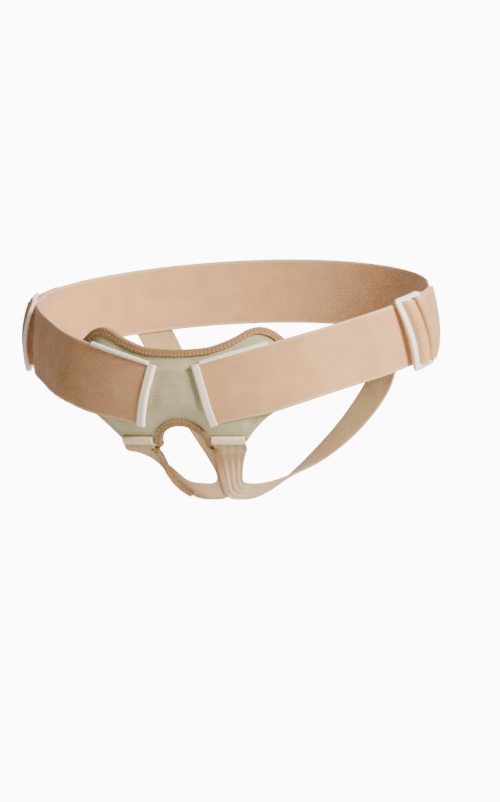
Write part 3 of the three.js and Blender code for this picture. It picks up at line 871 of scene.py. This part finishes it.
for hand, side in SIDES:
    outline = edge_tape(END_TAPE_WIDTH - TAPE_LIP, TAPE_LIP, STRIP_LOW)
    tape = rod(outline, even(-STRIP_WIDTH / 2, STRIP_WIDTH / 2, 54),
               lambda past, out, across: on_belt(-past, across, out))
    end_tape = narrow_tape(side, tape, f"end_tape_{hand}", white_tape,
                           f"strip_end_tape_{hand}")

    lip = TOP_TAPE_WIDTH / 2
    outline = edge_tape(TOP_TAPE_WIDTH - lip, lip, STRIP_LOW)
    tape = rod(outline, even(TAPE_LIP + GAP, STRIP_LEAVES_PLATE - TOP_TAPE_SHORT, 50),
               lambda past, out, run: on_belt(run, STRIP_WIDTH / 2 + past, out))
    edge_trim = narrow_tape(side, tape, f"edge_trim_{hand}", white_tape,
                            f"strip_top_tape_{hand}")

    outline = edge_tape(TAB_BAR_WIDTH - TAB_BAR_LIP, TAB_BAR_LIP, LEG_LOW)
    tape = rod(outline, even(LEG_INNER, LEG_INNER + LEG_STRAP_WIDTH, 30),
               lambda past, out, around: on_wall(around, past - LEG_STRAP_TOP_DROP, out))
    narrow_tape(side, tape, f"tab_tape_{hand}", cream_tape,
                                  f"tab_bar_{hand}")

    strap_top = STRIP_LOW + ELASTIC_THICKNESS
    tape_top = strap_top + GAP + TAPE_THICKNESS
    tab_tape_top = LEG_LOW + ELASTIC_THICKNESS + GAP + TAPE_THICKNESS
    half = STRIP_WIDTH / 2
    strap_seams = stitching(f"strap_seams_{hand}", cream_thread, side, [
        (lambda across, lift: on_belt(TAPE_LIP - 1.4 * MM, across, tape_top + lift),
         -half, half, STITCH_PITCH),
        (lambda across, lift: on_belt(TAPE_LIP - END_TAPE_WIDTH + 2 * MM, across,
                                      tape_top + lift), -half, half, STITCH_PITCH),
        (lambda run, lift: on_belt(run, half, tape_top + lift),
         TAPE_LIP + GAP, STRIP_LEAVES_PLATE - TOP_TAPE_SHORT, STITCH_PITCH),
        (lambda around, lift: on_wall(around, -LEG_STRAP_TOP_DROP, tab_tape_top + lift),
         LEG_INNER, LEG_INNER + LEG_STRAP_WIDTH, STITCH_PITCH)])
    plate_seam = stitching(f"plate_seam_{hand}", tan_thread, side, [
        (lambda run, lift: on_belt(run, SEAM_INSET - half, strap_top + lift),
         TAPE_LIP, STRIP_LEAVES_PLATE - TOP_TAPE_SHORT, STITCH_PITCH)])


# Route of a leg band: place as shares of the hollow's half width, half depth and the
# crotch's depth, the way that it faces, its width as a share of that at the tab, its ribs
LEG_ROUTE = (
    (0.213, -0.76, -0.595, 0.4, 0.75, -0.5, 0.9, 0.9),
    (0.165, -0.58, -0.79, 0.8, 0.4, -0.4, 0.86, 1),
    (0.118, -0.36, -0.96, 0.8, 0.2, -0.55, 0.68, 0.6),
    (0.095, -0.08, -1, 0.8, 0, -0.6, 0.6, 0.2),
    (0.11, 0.2, -0.98, 0.75, -0.2, -0.62, 0.6, 0),
    (0.165, 0.47, -0.86, 0.6, -0.5, -0.6, 0.65, 0),
    (0.27, 0.7, -0.62, 0.35, -0.75, -0.5, 0.75, 0),
    (0.41, 0.84, -0.27, 0.25, -0.9, -0.35, 0.88, 0),
    (0.54, 0.88, 0.14, 0.33, -0.93, -0.15, 1, 0),
)


def sewn_row(around, height, out, lean, turn):
    return [on_wall(around + share * turn * LEG_STRAP_WIDTH * math.cos(lean),
                    height + share * turn * LEG_STRAP_WIDTH * math.sin(lean), out)
            for share in (-0.5, 0, 0.5)]


def leg_rows():
    seam_around, seam_height, angle = belt_line(SLIDE_RUN + back_length * LEG_SEAM_SHARE)
    seam_low = seam_height - STRIP_WIDTH / 2
    seam_out = REST_OUT + ELASTIC_THICKNESS / 2 + SEWN_GAP + LEG_STRAP_THICKNESS / 2
    tab_out = LEG_LOW + LEG_STRAP_THICKNESS / 2
    tab = [sewn_row(LEG_MIDDLE, -drop, tab_out, 0, 1)
           for drop in (LEG_STRAP_TOP_DROP, TAB_DROP + TAB_OVERHANG)]
    seam = [sewn_row(seam_around - above * math.tan(LEG_SEAM_LEAN), seam_low + above,
                     seam_out, LEG_SEAM_LEAN, -1)
            for above in (-LEG_SEAM_FREE, LEG_SEAM_OVERLAP)]
    middles = [Vector((x * HOLLOW_HALF_WIDTH, y * HOLLOW_HALF_DEPTH, z * CROTCH_DEPTH))
               for x, y, z, *rest in LEG_ROUTE]
    stops = [tab[1][1], *middles, seam[0][1]]
    free = []
    for i, (x, y, z, aside, front, up, wide, rib) in enumerate(LEG_ROUTE):
        across = (stops[i + 2] - stops[i]).cross(Vector((aside, -front, up)))
        across = across.normalized() * LEG_STRAP_WIDTH * wide / 2
        free.append([middles[i] + across, middles[i], middles[i] - across])
    return [*tab, *free, *seam]


leg_lines = list(zip(*leg_rows()))
RIB_SIZES = [0, 0.6, *(row[-1] for row in LEG_ROUTE), 0, 0]


# Place on a leg band: side is -1 at the edge beside the notch and 1 at the other
def on_leg(share, side, past, off):
    left, middle, right = (curve_point(line, share) for line in leg_lines)
    across = (right - left).normalized()
    ahead = curve_point(leg_lines[1], share + 1e-3) - curve_point(leg_lines[1], share - 1e-3)
    outward = -across.cross(ahead).normalized()
    return (left * (side * (side - 1) / 2) + middle * (1 - side * side)
            + right * (side * (side + 1) / 2) + across * past * side + outward * off)


def leg_length():
    steps = 200
    points = [curve_point(leg_lines[1], i / steps) for i in range(steps + 1)]
    return sum((after - before).length for before, after in zip(points, points[1:]))


LEG_LENGTH = leg_length()


def leg_band():
    last = len(RIB_SIZES) - 1

    def place(along, across, side):
        share = along / LEG_LENGTH
        i = min(int(share * last), last - 1)
        rib = lerp(RIB_SIZES[i], RIB_SIZES[i + 1], share * last - i)
        reach = clamp(across / (LEG_STRAP_WIDTH / 2), -1, 1)
        from_hem = across + LEG_STRAP_WIDTH / 2 - HEM_REACH
        wave = rib * RIB_SWELL * math.cos(RIB_COUNT * math.pi * (reach + 1))
        wave *= smoothstep(from_hem, 0, HEM_REACH)
        return on_leg(share, reach, 0, side * LEG_STRAP_THICKNESS / 2 + wave)

    return sheet(even(0, LEG_LENGTH, 190),
                 spaced(-LEG_STRAP_WIDTH / 2, LEG_STRAP_WIDTH / 2, 40, LEG_EDGE),
                 LEG_EDGE, place)


# Hem: the notch's tape carried on down the leg band's inner edge, folded over it. It starts
# as wide as the notch's tape above it, and at that tape's level.
HEM_FLARE = 4 * MM
HEM_SINK = 3 * MM
HEM_FLARE_LENGTH = 16 * MM


def leg_hem():
    inside = LEG_STRAP_THICKNESS / 2 + SEWN_GAP
    outside = inside + TAPE_THICKNESS
    far = GAP + TAPE_THICKNESS
    outline = rounded([
        (-HEM_REACH, -outside, 0.3 * MM), (far, -outside, 1.1 * MM), (far, outside, 1.1 * MM),
        (-HEM_REACH, outside, 0.3 * MM), (-HEM_REACH, inside, 0), (GAP, inside, 0.3 * MM),
        (GAP, -inside, 0.3 * MM), (-HEM_REACH, -inside, 0)])
    start = LEG_LENGTH / (len(leg_lines[1]) - 1)

    def place(past, off, along):
        if past > 0:
            flare = 1 - smoothstep(along, start, start + HEM_FLARE_LENGTH)
            past += HEM_FLARE * flare
            off -= HEM_SINK * flare
        return on_leg(along / LEG_LENGTH, -1, past, off)

    return rod(outline, even(start, HEM_END_SHARE * LEG_LENGTH, 60), place)


# Sewn square that holds a leg band on the back band
def seam_square():
    half = LEG_STRAP_WIDTH / 2
    first = LEG_LENGTH - LEG_SEAM_OVERLAP + 3 * MM
    last = LEG_LENGTH - SEAM_INSET
    sides = [(lambda along, lift, edge=edge: on_leg(along / LEG_LENGTH, edge, 0,
                                                    LEG_STRAP_THICKNESS / 2 + lift),
              first, last, STITCH_PITCH) for edge in (-0.8, 0.8)]
    ends = [(lambda across, lift, along=along: on_leg(along / LEG_LENGTH, across / half, 0,
                                                      LEG_STRAP_THICKNESS / 2 + lift),
             -0.84 * half, 0.84 * half, STITCH_PITCH) for along in (first, last)]
    return sides + ends


# Rows across the back band's folded end
def fold_rows():
    half = STRIP_WIDTH / 2 - SELVEDGE_WIDTH
    return [(lambda across, lift, back=back: on_belt(
        FOLD_END - back, across, FOLD_OUT + ELASTIC_THICKNESS / 2 + lift),
             -half, half, STITCH_PITCH) for back in (SEAM_INSET, 9 * MM)]


for hand, side in SIDES:
    piece = finish_piece(mirror_to(side, leg_band()), f"leg_band_{hand}", cream_cloth,
                         [f"leg_strap_{hand}"])
    wide_tape(side, leg_hem(), f"hem_tape_{hand}", f"leg_hem_{hand}")

    hem_top = LEG_STRAP_THICKNESS / 2 + SEWN_GAP + TAPE_THICKNESS
    stitching(f"hem_seam_{hand}", tan_thread, side, [
        (lambda along, lift: on_leg(along / LEG_LENGTH, -1, 1.1 * MM - HEM_REACH,
                                    hem_top + lift),
         LEG_LENGTH / (len(leg_lines[1]) - 1), HEM_END_SHARE * LEG_LENGTH, STITCH_PITCH)])

    stitching(f"back_seams_{hand}", cream_thread, side,
                                [*seam_square(), *fold_rows()])


# Hip slide: a flat grid with two slots, thickened, its edges rounded, then laid on the hip
def slide_frame():
    plastic_mesh = bmesh.new()
    slot_half = STRIP_WIDTH / 2 + 2 * GAP
    runs = [SLIDE_FRONT, SLIDE_FRONT + SLIDE_BAR, MIDDLE_BAR, MIDDLE_BAR + SLIDE_BAR, REAR_BAR,
            REAR_BAR + SLIDE_BAR]
    acrosses = [-SLIDE_HEIGHT / 2, *even(-slot_half, slot_half, 24), SLIDE_HEIGHT / 2]
    columns = len(runs) - 1
    rows = len(acrosses) - 1
    bmesh.ops.create_grid(plastic_mesh, x_segments=columns, y_segments=rows, size=1)
    for corner in plastic_mesh.verts:
        i = round((corner.co.x + 1) / 2 * columns)
        j = round((corner.co.y + 1) / 2 * rows)
        corner.co = Vector((runs[i], acrosses[j], 0))
    slots = []
    for face in plastic_mesh.faces:
        middle = face.calc_center_median()
        in_front_slot = SLIDE_FRONT + SLIDE_BAR < middle.x < MIDDLE_BAR
        in_rear_slot = MIDDLE_BAR + SLIDE_BAR < middle.x < REAR_BAR
        if (in_front_slot or in_rear_slot) and abs(middle.y) < slot_half:
            slots.append(face)
    bmesh.ops.delete(plastic_mesh, geom=slots, context="FACES")
    tips = [corner for corner in plastic_mesh.verts if len(corner.link_edges) == 2]
    bmesh.ops.bevel(plastic_mesh, geom=tips, offset=SLIDE_CORNER, affect="VERTICES",
                    segments=5, profile=0.5, material=-1)
    top = bmesh.ops.extrude_face_region(plastic_mesh, geom=plastic_mesh.faces[:])
    moved = [item for item in top["geom"] if isinstance(item, bmesh.types.BMVert)]
    bmesh.ops.translate(plastic_mesh, vec=(0, 0, SLIDE_THICKNESS), verts=moved)
    bmesh.ops.recalc_face_normals(plastic_mesh, faces=plastic_mesh.faces)
    sharp = [edge for edge in plastic_mesh.edges
             if len(edge.link_faces) == 2 and edge.calc_face_angle() > math.radians(60)
             and abs(edge.verts[0].co.z - edge.verts[1].co.z) < 1e-6]
    bmesh.ops.bevel(plastic_mesh, geom=sharp, offset=SLIDE_EDGE, affect="EDGES",
                    segments=4, profile=0.5, material=-1)
    keep_flat(plastic_mesh)
    for corner in plastic_mesh.verts:
        run, across, lift = corner.co
        corner.co = on_belt(run, across, SLIDE_LIFT + lift)
    return plastic_mesh


for hand, side in SIDES:
    finish_piece(mirror_to(side, slide_frame()), f"slide_frame_{hand}", plastic,
                 [f"hip_slide_{hand}"])


# Floor, light and camera
def stage_piece(name, flat, color, glow):
    mesh = bpy.data.meshes.new(name)
    flat.to_mesh(mesh)
    flat.free()
    material, shader = node_tree(name, color, 0.9)
    shader.inputs["Emission Color"].default_value = (*color, 1)
    shader.inputs["Emission Strength"].default_value = glow
    mesh.materials.append(material)
    piece = bpy.data.objects.new(name, mesh)
    bpy.context.scene.collection.objects.link(piece)
    return piece


def studio():
    ground = bmesh.new()
    bmesh.ops.create_circle(ground, cap_ends=True, segments=96, radius=0.9)
    bmesh.ops.translate(ground, vec=(0, 0, -0.42), verts=ground.verts)
    stage_piece("floor", ground, (0.85, 0.85, 0.85), 0.3)

    # White surroundings, seen by the camera alone, so that the lamps keep their contrast
    world = bpy.data.worlds.new("Studio")
    bpy.context.scene.world = world
    world.use_nodes = True
    world.node_tree.nodes["Background"].inputs["Color"].default_value = (1, 1, 1, 1)
    world.node_tree.nodes["Background"].inputs["Strength"].default_value = 11
    world.cycles_visibility.diffuse = False
    world.cycles_visibility.glossy = False

    for name, place, size, power, color in (
            ("key", (2.2, -0.95, 1.1), 1.0, 215, (1, 0.97, 0.92)),
            ("fill", (-1.8, -2.0, 0.5), 2.4, 14, (1, 0.9, 0.78)),
            ("top", (0, 0, 2.6), 2.4, 26, (1, 0.98, 0.95)),
            ("back", (-0.6, 2.3, 0.9), 2.0, 60, (1, 0.98, 0.95))):
        light = bpy.data.lights.new(name, "AREA")
        light.size = size
        light.energy = power
        light.color = color
        lamp = bpy.data.objects.new(name, light)
        lamp.location = place
        lamp.rotation_euler = (-Vector(place)).to_track_quat("-Z", "Y").to_euler()
        bpy.context.scene.collection.objects.link(lamp)


CAMERA_AZIMUTH = math.radians(23)
CAMERA_ELEVATION = 0.0
CAMERA_DISTANCE = 9.0
FRAME_HEIGHT = 802 * 0.84 * MM


def photo_camera():
    data = bpy.data.cameras.new("photo_camera")
    data.sensor_fit = "VERTICAL"
    data.sensor_height = 36
    data.lens = 36 * CAMERA_DISTANCE / FRAME_HEIGHT
    camera = bpy.data.objects.new("photo_camera", data)
    right = Vector((math.cos(CAMERA_AZIMUTH), math.sin(CAMERA_AZIMUTH), 0))
    back = Vector((math.sin(CAMERA_AZIMUTH) * math.cos(CAMERA_ELEVATION),
                   -math.cos(CAMERA_AZIMUTH) * math.cos(CAMERA_ELEVATION),
                   math.sin(CAMERA_ELEVATION)))
    target = right * 15.1 * MM + Vector((0, 0, -4.2 * MM))
    camera.location = target + back * CAMERA_DISTANCE
    camera.rotation_euler = (-back).to_track_quat("-Z", "Y").to_euler()
    bpy.context.scene.collection.objects.link(camera)
    bpy.context.scene.camera = camera


studio()
photo_camera()
